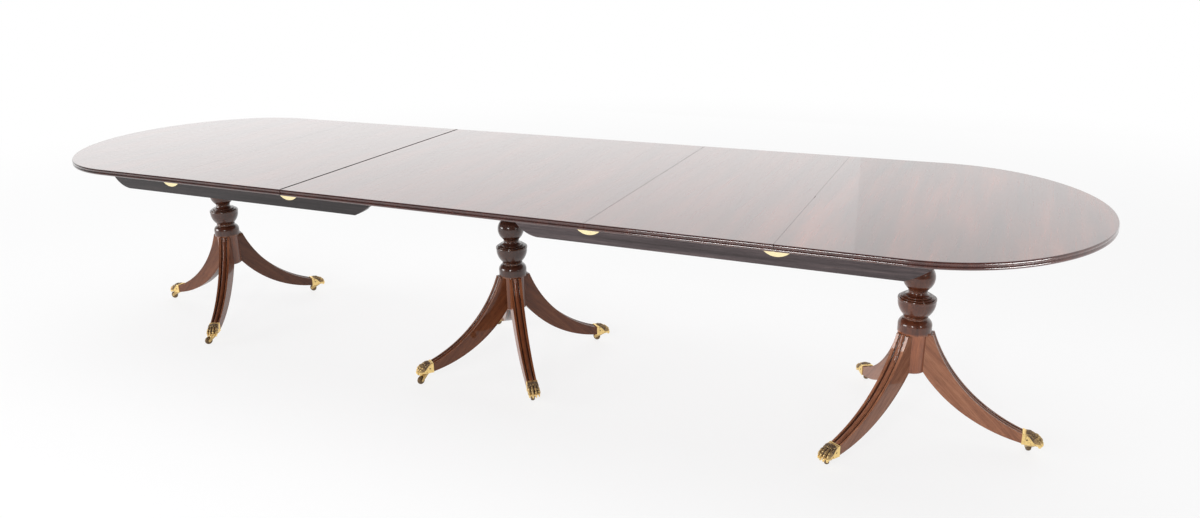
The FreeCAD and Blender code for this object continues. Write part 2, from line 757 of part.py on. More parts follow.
def build_bearers():
    bearer = make_bearer("bearer_pattern")
    in_centre = "inner_seam - bearer_inset - bearer_width / 2"
    in_end = "outer_seam + bearer_inset + bearer_width / 2"
    group("centre_bearers", [copy_of(bearer, "centre_left_bearer", x=f"0 - ({in_centre})"),
                             copy_of(bearer, "centre_right_bearer", x=in_centre)])
    node(copy_of(bearer, "left_end_bearer", x=f"0 - ({in_end})"))
    node(copy_of(bearer, "right_end_bearer", x=in_end))


def build_pedestals():
    block = make_block("block_pattern")
    leg = make_leg("leg_pattern")
    paw = make_paw("paw_pattern")
    fork = make_fork("fork_pattern")
    wheel = make_wheel("wheel_pattern")
    for name, (x, legs) in PEDESTALS.items():
        node(copy_of(block, f"{name}_block", x=x))
        node(place(make_column(f"{name}_column", legs.values()), x=x))
        for position, angle in legs.items():
            node(copy_of(leg, f"{name}_leg_{position}", x=x, angle=angle))
            node(copy_of(paw, f"{name}_paw_{position}", x=x, angle=angle))
            castor = {"x": f"{x} + castor_reach * cos({angle})", "y": f"castor_reach * sin({angle})",
                      "angle": f"{name}_{position}_trail"}
            node(copy_of(fork, f"{name}_fork_{position}", **castor))
            node(copy_of(wheel, f"{name}_wheel_{position}", **castor))


def check_model():
    """Stops before anything is written if an object failed or a piece has no sound solid."""
    doc.recompute()
    for item in doc.Objects:
        if {"Invalid", "Error"} & set(item.State):
            raise RuntimeError(f"{item.Label} failed: {item.State}")
    for item in nodes:
        shape = item.Shape
        if shape.isNull() or not shape.isValid() or not shape.Solids:
            raise RuntimeError(f"{item.Label} is not a sound solid")


def write_parts():
    os.makedirs("parts", exist_ok=True)
    for item in nodes:
        item.Shape.exportStep(f"parts/{item.Label}.step")
    print(f"{len(nodes)} pieces written")


fill_sheet()
build_tops()
build_rails()
build_bearers()
build_pedestals()
check_model()
write_parts()
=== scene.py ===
# %% [markdown]
# A long pedestal dining table, dressed for a photograph.
# The solid pieces come from a imported model: every board, leg and castor already has its true size and
# its place, so this lesson adds what solids lack: polish, grain, cast brass, screws and soft light.
# The model's box is kept now; its top sets the height of the seam wax.

# %% Load the solid model
import json
import math

import bmesh
import bpy
from mathutils import Matrix, Vector


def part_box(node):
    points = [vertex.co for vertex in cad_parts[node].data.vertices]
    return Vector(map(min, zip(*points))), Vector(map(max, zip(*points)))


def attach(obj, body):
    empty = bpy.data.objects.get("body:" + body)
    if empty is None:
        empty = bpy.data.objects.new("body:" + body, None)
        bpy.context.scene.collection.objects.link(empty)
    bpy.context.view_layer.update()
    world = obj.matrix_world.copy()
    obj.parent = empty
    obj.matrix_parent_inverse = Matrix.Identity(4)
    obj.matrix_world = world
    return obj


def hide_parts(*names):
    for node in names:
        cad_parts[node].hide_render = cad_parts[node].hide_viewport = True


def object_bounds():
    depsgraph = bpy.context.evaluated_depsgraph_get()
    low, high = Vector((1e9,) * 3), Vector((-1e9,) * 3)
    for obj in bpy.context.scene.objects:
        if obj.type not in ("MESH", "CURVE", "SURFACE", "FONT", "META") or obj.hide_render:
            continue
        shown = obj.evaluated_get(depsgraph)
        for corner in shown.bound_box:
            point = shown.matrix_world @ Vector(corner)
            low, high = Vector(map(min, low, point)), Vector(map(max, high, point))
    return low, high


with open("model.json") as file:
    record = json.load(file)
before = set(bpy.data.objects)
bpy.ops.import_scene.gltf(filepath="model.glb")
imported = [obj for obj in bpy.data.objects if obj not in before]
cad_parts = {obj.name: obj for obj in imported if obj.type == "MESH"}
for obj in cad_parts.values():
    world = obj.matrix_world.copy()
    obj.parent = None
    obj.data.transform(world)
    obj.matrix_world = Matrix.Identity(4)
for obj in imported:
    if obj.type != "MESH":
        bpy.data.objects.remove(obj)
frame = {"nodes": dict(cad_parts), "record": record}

nodes = frame["nodes"]
behaviour = frame["record"]["behaviour"]
body_of = {node: body for body, members in behaviour["bodies"].items() for node in members}
cad_low, cad_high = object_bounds()
scene = bpy.context.scene
scene.view_settings.view_transform = "Standard"
print("nodes:", len(nodes), "box in metres:", tuple(round(v, 3) for v in cad_high - cad_low))

# %% [markdown]
# The camera stands in front of the right end and looks down the length of the table.
# It could be placed by eye, but the edges and seams of the top fix it: its place, its three angles and
# its focal length were solved so that those lines fall on the same pixels as in the picture.
# The small shift moves the frame, not the camera, so upright columns keep their lean.

# %% Place the camera
PICTURE_WIDTH, PICTURE_HEIGHT = 1200, 518
SENSOR_WIDTH_MM = 36
FOCAL_PIXELS = 934.1
AXIS_PIXEL = (583.0, 250.9)
CAMERA_PLACE = Vector((1.6109, -2.7576, 1.4786))
CAMERA_YAW, CAMERA_PITCH, CAMERA_ROLL = (math.radians(angle) for angle in (-25.71, 18.35, -1.53))


def make_camera():
    """A camera turned by its yaw, pitch and roll, with its axis on the solved pixel."""
    ahead = Vector((math.sin(CAMERA_YAW) * math.cos(CAMERA_PITCH),
                    math.cos(CAMERA_YAW) * math.cos(CAMERA_PITCH), -math.sin(CAMERA_PITCH)))
    level = Vector((math.cos(CAMERA_YAW), -math.sin(CAMERA_YAW), 0))
    upward = level.cross(ahead)
    right = level * math.cos(CAMERA_ROLL) + upward * math.sin(CAMERA_ROLL)
    top = upward * math.cos(CAMERA_ROLL) - level * math.sin(CAMERA_ROLL)
    data = bpy.data.cameras.new("Camera")
    data.sensor_width = SENSOR_WIDTH_MM
    data.lens = FOCAL_PIXELS * SENSOR_WIDTH_MM / PICTURE_WIDTH
    data.shift_x = (PICTURE_WIDTH / 2 - AXIS_PIXEL[0]) / PICTURE_WIDTH
    data.shift_y = (AXIS_PIXEL[1] - PICTURE_HEIGHT / 2) / PICTURE_WIDTH
    camera = bpy.data.objects.new("Camera", data)
    facing = Matrix((right, top, -ahead)).transposed().to_4x4()
    camera.matrix_world = Matrix.Translation(CAMERA_PLACE) @ facing
    scene.collection.objects.link(camera)
    scene.camera = camera
    return camera


camera = make_camera()
print("camera lens in mm:", round(camera.data.lens, 2))

# %% [markdown]
# The studio is a white room with the windows behind the camera.
# A polished top is mostly a mirror at this low angle, so what stands behind the table matters more than
# what shines on it: two cool panels there give the pale sheen, and their joint gives the faint upright
# line in it. Towards the camera the room is dark, so edges and turnings look deep, with three windows.
# The windows would burn a white patch into the top when it is seen from behind, so light linking keeps
# them off it; two low strips, which the flat top can't mirror, draw the bright lines along its edge.
# A fill from the front lights the legs without showing up in their polish.
# The floor shows partly its own light, which keeps it white, and partly takes the table's shadow.

# %% Build the studio
WHITE = (1, 1, 1)
FLOOR_HALF = 14.0
FLOOR_COLOUR = (0.86, 0.86, 0.87)
FLOOR_ROUGHNESS = 0.6
FLOOR_GLOW = 0.80
GLOW_FADE = (3.0, 6.5)
FRONT_DIM = 0.14
DIM_TO_BRIGHT = (-0.3, 0.4)
PANEL_JOINT_X, PANEL_Y, PANEL_HEIGHT = 0.43, 5.0, 5.0
PANEL_COLOUR = (0.96, 0.99, 1.0)
STRIP_HEIGHT, STRIP_BRIGHTNESS = 0.6, 24
TOPS = ("left_end_top", "left_leaf", "centre_top", "right_leaf", "right_end_top")


def add_node(tree, kind, **settings):
    """A new node; a setting is one of its properties or, failing that, one of its inputs."""
    node = tree.nodes.new(kind)
    for name, value in settings.items():
        if name in node.bl_rna.properties:
            setattr(node, name, value)
        else:
            node.inputs[name.replace("_", " ")].default_value = value
    return node


def feed(tree, source, socket):
    """Links another node's output to a socket, or sets the socket to a constant."""
    if isinstance(source, bpy.types.NodeSocket):
        tree.links.new(source, socket)
    else:
        socket.default_value = source


def do_math(tree, operation, *sources, **settings):
    """A sum on one or two sources, each an output or a number."""
    node = add_node(tree, "ShaderNodeMath", operation=operation, **settings)
    for source, socket in zip(sources, node.inputs):
        feed(tree, source, socket)
    return node.outputs[0]


def map_range(tree, source, span=(0, 1), result=(0, 1), smooth=False):
    """Turns one span of values into another and holds what lies beyond it at the ends."""
    node = add_node(tree, "ShaderNodeMapRange", From_Min=span[0], From_Max=span[1],
                    To_Min=result[0], To_Max=result[1],
                    interpolation_type="SMOOTHSTEP" if smooth else "LINEAR")
    tree.links.new(source, node.inputs["Value"])
    return node.outputs["Result"]


def split(tree, source):
    """The X, Y and Z of a vector."""
    node = add_node(tree, "ShaderNodeSeparateXYZ")
    tree.links.new(source, node.inputs[0])
    return node.outputs


def new_material(name):
    """A material with its node tree and its main shader."""
    material = bpy.data.materials.new(name)
    material.use_nodes = True
    return material, material.node_tree, material.node_tree.nodes["Principled BSDF"]


def make_floor():
    """A pale floor that shines by itself wherever it is looked at, most of all far away."""
    mesh = bpy.data.meshes.new("Floor")
    corners = [(x * FLOOR_HALF, y * FLOOR_HALF, 0) for x, y in ((-1, -1), (1, -1), (1, 1), (-1, 1))]
    mesh.from_pydata(corners, [], [(0, 1, 2, 3)])
    floor = bpy.data.objects.new("Floor", mesh)
    scene.collection.objects.link(floor)
    material, tree, shader = new_material("Pale floor")
    shader.inputs["Base Color"].default_value = (*FLOOR_COLOUR, 1)
    shader.inputs["Roughness"].default_value = FLOOR_ROUGHNESS
    glow = add_node(tree, "ShaderNodeEmission", Color=(*WHITE, 1), Strength=1.0)
    path = add_node(tree, "ShaderNodeLightPath")
    seen = do_math(tree, "MAXIMUM", path.outputs["Is Camera Ray"], path.outputs["Is Glossy Ray"])
    reach = add_node(tree, "ShaderNodeVectorMath", operation="LENGTH")
    tree.links.new(add_node(tree, "ShaderNodeTexCoord").outputs["Object"], reach.inputs[0])
    fade = map_range(tree, reach.outputs["Value"], GLOW_FADE, (FLOOR_GLOW, 1), smooth=True)
    blend = add_node(tree, "ShaderNodeMixShader")
    tree.links.new(do_math(tree, "MULTIPLY", seen, fade), blend.inputs["Fac"])
    tree.links.new(shader.outputs[0], blend.inputs[1])
    tree.links.new(glow.outputs[0], blend.inputs[2])
    tree.links.new(blend.outputs[0], tree.nodes["Material Output"].inputs["Surface"])
    mesh.materials.append(material)


def make_surround():
    """White to the camera; as a light, white behind the table and dark in front of it."""
    world = bpy.data.worlds.new("White room")
    scene.world = world
    world.use_nodes = True
    tree = world.node_tree
    direction = split(tree, add_node(tree, "ShaderNodeTexCoord").outputs["Generated"])
    depth = map_range(tree, direction["Y"], DIM_TO_BRIGHT, (FRONT_DIM, 1), smooth=True)
    seen = add_node(tree, "ShaderNodeLightPath").outputs["Is Camera Ray"]
    background = tree.nodes["Background"]
    background.inputs["Color"].default_value = (*WHITE, 1)
    tree.links.new(do_math(tree, "MAXIMUM", seen, depth), background.inputs["Strength"])


def group_tops(name, state):
    """A collection of the top's sections for lamps that light only them or everything else."""
    group = bpy.data.collections.new(name)
    for top in TOPS:
        group.objects.link(nodes[top])
    for member in group.collection_objects:
        member.light_linking.link_state = state
    return group


def make_lamp(name, place, target, size, brightness, receivers=None, colour=WHITE):
    """A soft panel; brightness is what it looks like when mirrored, with white as one."""
    data = bpy.data.lights.new(name, "AREA")
    data.shape = "RECTANGLE"
    data.size, data.size_y = size
    data.energy = brightness * size[0] * size[1] * math.pi
    data.color = colour
    lamp = bpy.data.objects.new(name, data)
    lamp.location = place
    lamp.rotation_euler = (Vector(target) - Vector(place)).to_track_quat("-Z", "Y").to_euler()
    lamp.visible_camera = False
    lamp.light_linking.receiver_collection = receivers
    scene.collection.objects.link(lamp)
    return lamp


make_floor()
make_surround()
for name, side, width, brightness in (("left", -1, 12, 0.31), ("right", 1, 6, 0.17)):
    middle = PANEL_JOINT_X + side * width / 2
    make_lamp(f"Back panel {name}", place=(middle, PANEL_Y, PANEL_HEIGHT / 2),
              target=(middle, 0, PANEL_HEIGHT / 2), size=(width, PANEL_HEIGHT),
              brightness=brightness, colour=PANEL_COLOUR)
not_tops = group_tops("All but the top", "EXCLUDE")
make_lamp("Window left", place=(0.6, -4.3, 2.2), target=(0.6, 0, 0.5), size=(0.6, 0.9),
          brightness=26, receivers=not_tops)
make_lamp("Window right", place=(3.9, -2.2, 2.0), target=(1.2, 0, 0.4), size=(0.25, 0.45),
          brightness=22, receivers=not_tops)
make_lamp("Side window", place=(-9.0, -5.2, 2.6), target=(1.0, -0.2, 0.4), size=(5.0, 3.4),
          brightness=10, receivers=not_tops)
fill = make_lamp("Front fill", place=(-0.9, -4.2, 1.3), target=(0.8, 0, 0.3), size=(2.6, 1.6),
                 brightness=6, receivers=not_tops)
fill.visible_glossy = False
only_tops = group_tops("Only the top", "INCLUDE")
for name, place, target, width in (("front", (0.3, -4.0, 0.33), (0.9, -0.53, 0.73), 2.0),
                                   ("right", (4.25, -1.5, 0.32), (1.6, -0.47, 0.73), 2.4)):
    strip = make_lamp(f"Edge strip {name}", place, target, size=(width, STRIP_HEIGHT),
                      brightness=STRIP_BRIGHTNESS, receivers=only_tops)
    strip.data.shape = "ELLIPSE"
make_lamp("Ceiling panel", place=(0, 0, 4.2), target=(0, 0, 0), size=(6, 3), brightness=0.9)

# %% [markdown]
# Mahogany is a straight, close grain with darker pore lines and a broad ripple of red and brown.
# It could be painted on with pictures, but a noise stretched along the grain gives it at any size.
# Each board needs its own grain direction, so the pattern reads a "grain" attribute that is stored on the
# board, with X along the fibres. Stains and painted shade then change the colour by place: plain dark end
# grain round the top's edge, darkened further as painted shade, painted shade in the coves of the legs and
# on their reeds near the hub, painted shade on the turnings, and a painted shadow along the seam that
# stands open.
# The Bevel node finds sharp edges, where the colour is rubbed away; on the legs and turnings the colour
# there is lighter, a painted highlight along the arrises.
# Over it all lies a clear coat: years of French polish.

# %% Mix the polished mahogany
NOISE_ROUGHNESS = 0.6
FIGURE_DETAIL, FIGURE_STOPS = 5, (0.32, 0.50, 0.68)
FIBRE_SCALE, FIBRE_DETAIL, FIBRE_SHARE = (9, 240), 3, 0.25
PORE_SCALE, PORE_DETAIL, PORE_STOPS = (30, 900), 2, (0.36, 0.46)
PORE_SHADE, PORE_SHARE = (0.45, 0.40, 0.38), 0.6
PORE_BUMP, PORE_DEPTH = 0.01, 0.0001
SMOOTHEST, ROUGHEST = -0.05, 0.08
WEAR_RADIUS, WEAR_SAMPLES, WEAR_LEAN = 0.0012, 6, (0.99, 0.86)
PLAIN_SPECULAR = 0.3
POLISH_ROUGHNESS, POLISH_IOR = 0.035, 1.6


def colour_ramp(tree, source, places, colours):
    """Colours for a value, each at its place."""
    ramp = add_node(tree, "ShaderNodeValToRGB")
    while len(ramp.color_ramp.elements) < len(places):
        ramp.color_ramp.elements.new(0.5)
    for element, place, colour in zip(ramp.color_ramp.elements, places, colours):
        element.position = place
        element.color = (*colour, 1)
    tree.links.new(source, ramp.inputs["Fac"])
    return ramp.outputs["Color"]


def stretched_noise(tree, source, scale, detail):
    """Noise with a scale along the grain and another across it."""
    along, across = scale
    mapping = add_node(tree, "ShaderNodeMapping", Scale=(along, across, across))
    tree.links.new(source, mapping.inputs["Vector"])
    noise = add_node(tree, "ShaderNodeTexNoise", Scale=1.0, Detail=detail, Roughness=NOISE_ROUGHNESS)
    tree.links.new(mapping.outputs["Vector"], noise.inputs["Vector"])
    return noise.outputs["Fac"]


def mix(tree, share, first, second, data_type="RGBA", blend_type="MIX"):
    """A colour or number between two others; each source is an output or a constant."""
    node = add_node(tree, "ShaderNodeMix", data_type=data_type, blend_type=blend_type)
    for source, socket in ((share, "Factor"), (first, "A"), (second, "B")):
        feed(tree, source, node.inputs[socket])
    return node.outputs["Result"]


def darken(tree, colour, shade, share=1.0):
    """A colour multiplied by a shade, by a share."""
    return mix(tree, share, colour, shade, blend_type="MULTIPLY")


def read_attribute(tree, name, output="Vector"):
    return add_node(tree, "ShaderNodeAttribute", attribute_name=name).outputs[output]


def surface_normal(tree):
    return add_node(tree, "ShaderNodeNewGeometry").outputs["Normal"]


def add_bump(tree, height, strength, distance):
    node = add_node(tree, "ShaderNodeBump", Strength=strength, Distance=distance)
    tree.links.new(height, node.inputs["Height"])
    return node.outputs["Normal"]


def worn_edge(tree):
    """One on sharp edges and nought on faces: how far a rounded normal leans from the real one."""
    rounded = add_node(tree, "ShaderNodeBevel", samples=WEAR_SAMPLES, Radius=WEAR_RADIUS)
    lean = add_node(tree, "ShaderNodeVectorMath", operation="DOT_PRODUCT")
    tree.links.new(rounded.outputs["Normal"], lean.inputs[0])
    tree.links.new(surface_normal(tree), lean.inputs[1])
    return map_range(tree, lean.outputs["Value"], WEAR_LEAN)


def polish(shader, coat, specular=PLAIN_SPECULAR):
    """Lays a clear coat of French polish on a shader."""
    shader.inputs["Specular IOR Level"].default_value = specular
    shader.inputs["Coat Weight"].default_value = coat
    shader.inputs["Coat Roughness"].default_value = POLISH_ROUGHNESS
    shader.inputs["Coat IOR"].default_value = POLISH_IOR


def make_wood(name, colours, arris_wear_and_highlight, coat, roughness, figure_scale, stain_and_shade=None, specular=PLAIN_SPECULAR):
    """Polished wood: dark, middle and light fibres under a clear coat, with worn arrises, on the legs also
    a painted highlight.

    A stored factor makes a piece lighter or darker as painted light and shade; the stain function changes
    the colour by place, with stains and painted shade.
    """
    material, tree, shader = new_material(name)
    grain = read_attribute(tree, "grain")
    figure = stretched_noise(tree, grain, figure_scale, FIGURE_DETAIL)
    fibres = stretched_noise(tree, grain, FIBRE_SCALE, FIBRE_DETAIL)
    pores = stretched_noise(tree, grain, PORE_SCALE, PORE_DETAIL)
    ripple = mix(tree, FIBRE_SHARE, figure, fibres, data_type="FLOAT")
    colour = colour_ramp(tree, ripple, FIGURE_STOPS, colours)
    pore_shade = colour_ramp(tree, pores, PORE_STOPS, (PORE_SHADE, WHITE))
    colour = darken(tree, colour, pore_shade, PORE_SHARE)
    colour = darken(tree, colour, read_attribute(tree, "painted_light"))
    if stain_and_shade:
        colour = stain_and_shade(tree, grain, colour)
    colour = mix(tree, worn_edge(tree), colour, (*arris_wear_and_highlight, 1))
    tree.links.new(colour, shader.inputs["Base Color"])
    gloss = map_range(tree, fibres, result=(roughness + SMOOTHEST, roughness + ROUGHEST))
    tree.links.new(gloss, shader.inputs["Roughness"])
    tree.links.new(add_bump(tree, pores, PORE_BUMP, PORE_DEPTH), shader.inputs["Normal"])
    polish(shader, coat, specular)
    return material


def facing_edges(board, neighbour):
    """X of a board's edge and of the neighbour's edge beside it."""
    low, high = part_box(board)
    next_low, next_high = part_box(neighbour)
    return (high.x, next_low.x) if next_low.x > low.x else (low.x, next_high.x)


EDGE_ROUNDING = 0.008
FLAT_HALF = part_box("centre_top")[1].y - EDGE_ROUNDING
EDGE_TO_FLAT = (0.80, 0.97)
END_GRAIN_SCALE, END_GRAIN_STOPS = (40, 40), (0.35, 0.65)
# End grain round the edge, darkened further as painted shade.
END_GRAIN_AND_SHADE_COLOURS = ((0.034, 0.010, 0.008), (0.062, 0.018, 0.013))
OPEN_SEAM_X = sum(facing_edges("left_leaf", "centre_top")) / 2
# A painted shadow along the open seam: a near-black, dull strip beside it.
SEAM_SHADOW_HALF, SEAM_SHADOW_FADE = 0.0038, 1.3
SEAM_SHADOW_COLOUR, SEAM_SHADOW_ROUGHNESS = (0.006, 0.005, 0.005), 0.9
# Painted shade in the coves of the legs and on their reeds near the hub.
COVE_SPAN, COVE_STOPS = 0.02, (0.32, 0.40, 0.54, 0.62)
PAINTED_COVE_SHADE, PAINTED_HUB_REED_SHADE = (0.14, 0.10, 0.09), (0.76, 0.69, 0.66)
HUB_TO_FOOT = (-0.10, 0.08)
# Painted shade on the turnings above the hub.
TURNING_STOPS, PAINTED_TURNING_SHADE = (0.340, 0.348), (0.26, 0.22, 0.23)


def edge_grain_and_shade(tree, grain, colour):
    """The edge shows close end grain in one plain dark brown, darkened further as painted shade."""
    upward = do_math(tree, "ABSOLUTE", split(tree, surface_normal(tree))["Z"])
    end_grain = stretched_noise(tree, grain, END_GRAIN_SCALE, FIBRE_DETAIL)
    edge_colour = colour_ramp(tree, end_grain, END_GRAIN_STOPS, END_GRAIN_AND_SHADE_COLOURS)
    return mix(tree, map_range(tree, upward, EDGE_TO_FLAT), edge_colour, colour)


def paint_cove_shade(tree, grain, colour):
    """Painted shade in the two coves along a leg and, near the hub, on the reed between them."""
    place = split(tree, grain)
    aside = map_range(tree, do_math(tree, "ABSOLUTE", place["Y"]), (0, COVE_SPAN))
    footward = map_range(tree, place["X"], HUB_TO_FOOT)
    at_hub, at_foot = (colour_ramp(tree, aside, COVE_STOPS, (reed, PAINTED_COVE_SHADE, PAINTED_COVE_SHADE, WHITE))
                       for reed in (PAINTED_HUB_REED_SHADE, WHITE))
    return darken(tree, colour, mix(tree, footward, at_hub, at_foot))


def paint_turning_shade(tree, grain, colour):
    """Painted shade on the turnings, which are darker than the hub below them; the hub matches the legs.

    A column's grain points down, with nought at the floor, so its height is X with the sign turned.
    """
    height = map_range(tree, split(tree, grain)["X"], (0, -1))
    return darken(tree, colour, colour_ramp(tree, height, TURNING_STOPS, (WHITE, PAINTED_TURNING_SHADE)))


def paint_open_seam_shadow(material):
    """A painted shadow along the one seam that stands open: dark, and too rough to shine."""
    tree = material.node_tree
    inputs = tree.nodes["Principled BSDF"].inputs
    place = split(tree, add_node(tree, "ShaderNodeTexCoord").outputs["Object"])
    aside = do_math(tree, "ABSOLUTE", do_math(tree, "SUBTRACT", place["X"], OPEN_SEAM_X))
    across = do_math(tree, "ABSOLUTE", place["Y"])
    outside_shadow = do_math(tree, "MAXIMUM", map_range(tree, aside, (SEAM_SHADOW_HALF, SEAM_SHADOW_FADE * SEAM_SHADOW_HALF)),
                    map_range(tree, across, (FLAT_HALF, FLAT_HALF + SEAM_SHADOW_HALF)))
    for socket, in_shadow, data_type in (("Base Color", (*SEAM_SHADOW_COLOUR, 1), "RGBA"),
                                     ("Roughness", SEAM_SHADOW_ROUGHNESS, "FLOAT")):
        polished = inputs[socket].links[0].from_socket
        tree.links.new(mix(tree, outside_shadow, in_shadow, polished, data_type), inputs[socket])
    tree.links.new(outside_shadow, inputs["Coat Weight"])


TOP_MIDDLE = (0.15, 0.036, 0.021)
TOP_ROUGHNESS = 0.24
TOP_LOOK = {"arris_wear_and_highlight": (0.080, 0.024, 0.016), "coat": 1.0, "roughness": TOP_ROUGHNESS,
            "figure_scale": (1.6, 16), "stain_and_shade": edge_grain_and_shade}
# On the legs and turnings the arris colour is lighter: wear and a painted highlight.
LEG_LOOK = {"colours": ((0.14, 0.038, 0.014), (0.26, 0.080, 0.029), (0.38, 0.130, 0.050)),
            "arris_wear_and_highlight": (0.42, 0.20, 0.11), "figure_scale": (2, 30)}
top_wood = make_wood("French polished top", **TOP_LOOK,
                     colours=((0.095, 0.023, 0.015), TOP_MIDDLE, (0.24, 0.058, 0.032)))
end_wood = make_wood("French polished figured end", **TOP_LOOK,
                     colours=((0.050, 0.012, 0.009), TOP_MIDDLE, (0.32, 0.080, 0.042)))
paint_open_seam_shadow(top_wood)
column_wood = make_wood("Turned columns", **LEG_LOOK, coat=0.7, roughness=0.34, stain_and_shade=paint_turning_shade)
leg_wood = make_wood("Sabre legs", **LEG_LOOK, coat=0.5, roughness=0.38, stain_and_shade=paint_cove_shade, specular=0.1)
# Painted shade: the rails, bearers and blocks under the top are near black, for the shade of the overhang.
rail_wood_in_painted_shade = make_wood("Stained rails", arris_wear_and_highlight=(0.06, 0.035, 0.028), coat=0.2, roughness=0.42,
                      figure_scale=(2, 60),
                      colours=((0.012, 0.008, 0.008), (0.030, 0.022, 0.023), (0.065, 0.047, 0.046)))
print("woods:", [item.name for item in (top_wood, end_wood, column_wood, leg_wood, rail_wood_in_painted_shade)])

# %% [markdown]
# The brass is cast: bright where hands and dusters reach, brown to black in the hollows.
# One shader serves all of it, with the patina as a value from nought, bright, to one, dark.

# %% Mix the brass
CLOUD_SCALE, CLOUD_DETAIL, CLOUD_CONTRAST = (160, 160), 5, 0.25
CLOUD_BUMP, CLOUD_DEPTH = 0.12, 0.0004
PATINA_STOPS = (0.05, 0.45, 0.90)
PATINA_ROUGHNESS, PATINA_METALLIC = 0.3, 0.4
BROWNING = (1.0, 0.86, 0.74)
BROWN_BRIGHT, BROWN_DARK, BROWN_LIFT = 0.30, 0.70, 0.04


def make_brass(name, bright, dark, patina, roughness):
    """Cast brass: patina is a share all over, or the name of an attribute that holds it."""
    material, tree, shader = new_material(name)
    place = add_node(tree, "ShaderNodeTexCoord").outputs["Object"]
    clouds = stretched_noise(tree, place, CLOUD_SCALE, CLOUD_DETAIL)
    blotches = map_range(tree, clouds, result=(-CLOUD_CONTRAST, CLOUD_CONTRAST))
    cover = read_attribute(tree, patina, "Fac") if isinstance(patina, str) else patina
    amount = do_math(tree, "ADD", blotches, cover, use_clamp=True)
    brown = [browning * (BROWN_BRIGHT * light + BROWN_DARK * deep + BROWN_LIFT)
             for browning, light, deep in zip(BROWNING, bright, dark)]
    looks = {"Base Color": colour_ramp(tree, amount, PATINA_STOPS, (bright, brown, dark)),
             "Roughness": map_range(tree, amount, result=(roughness, roughness + PATINA_ROUGHNESS)),
             "Metallic": map_range(tree, amount, result=(1, PATINA_METALLIC)),
             "Normal": add_bump(tree, clouds, CLOUD_BUMP, CLOUD_DEPTH)}
    for socket, source in looks.items():
        tree.links.new(source, shader.inputs[socket])
    return material


clip_brass = make_brass("Polished clip brass", bright=(1.0, 0.86, 0.52), dark=(0.62, 0.44, 0.18),
                        patina=0.05, roughness=0.22)
paw_brass = make_brass("Cast paw brass", bright=(0.98, 0.72, 0.30), dark=(0.065, 0.050, 0.046),
                       patina="patina", roughness=0.36)
fork_brass = make_brass("Castor fork brass", bright=(0.80, 0.58, 0.24), dark=(0.10, 0.07, 0.03),
                        patina=0.30, roughness=0.30)
wheel_brass = make_brass("Worn wheel brass", bright=(0.42, 0.29, 0.12), dark=(0.05, 0.035, 0.02),
                         patina=0.55, roughness=0.38)
screw_brass = make_brass("Dark screw brass", bright=(0.30, 0.20, 0.08), dark=(0.03, 0.02, 0.01),
                         patina=0.50, roughness=0.35)
print("brasses:", [item.name for item in (clip_brass, paw_brass, fork_brass, wheel_brass, screw_brass)])

# %% [markdown]
# The solid pieces arrive as loose triangles. A small node tree joins them, shades their curves smoothly
# up to a sharp edge, and stores the grain attribute: the place on the board, turned so that X runs along
# the fibres. Every board uses the same tree with its own pivot and turn. Columns, legs and rails also store
# a painted light: a factor, and on the legs a tint, that makes each lighter or darker as the light falls on
# it.

# %% Dress the solid pieces
JOIN_DISTANCE = 1e-5
SHARP_ANGLE = math.radians(28)


def new_tree(name, inputs):
    """A node tree for geometry with further named inputs, and the nodes at its two ends."""
    tree = bpy.data.node_groups.new(name, "GeometryNodeTree")
    tree.interface.new_socket("Geometry", in_out="INPUT", socket_type="NodeSocketGeometry")
    for socket, kind in inputs.items():
        tree.interface.new_socket(socket, in_out="INPUT", socket_type=f"NodeSocket{kind}")
    tree.interface.new_socket("Geometry", in_out="OUTPUT", socket_type="NodeSocketGeometry")
    return tree, add_node(tree, "NodeGroupInput"), add_node(tree, "NodeGroupOutput")


def input_names(tree):
    """The identifier of each named input of a node tree."""
    return {item.name: item.identifier for item in tree.interface.items_tree if item.in_out == "INPUT"}


def store_vector(tree, name):
    """A node that stores a vector on every point under a name."""
    return add_node(tree, "GeometryNodeStoreNamedAttribute", data_type="FLOAT_VECTOR", domain="POINT",
                    Name=name)


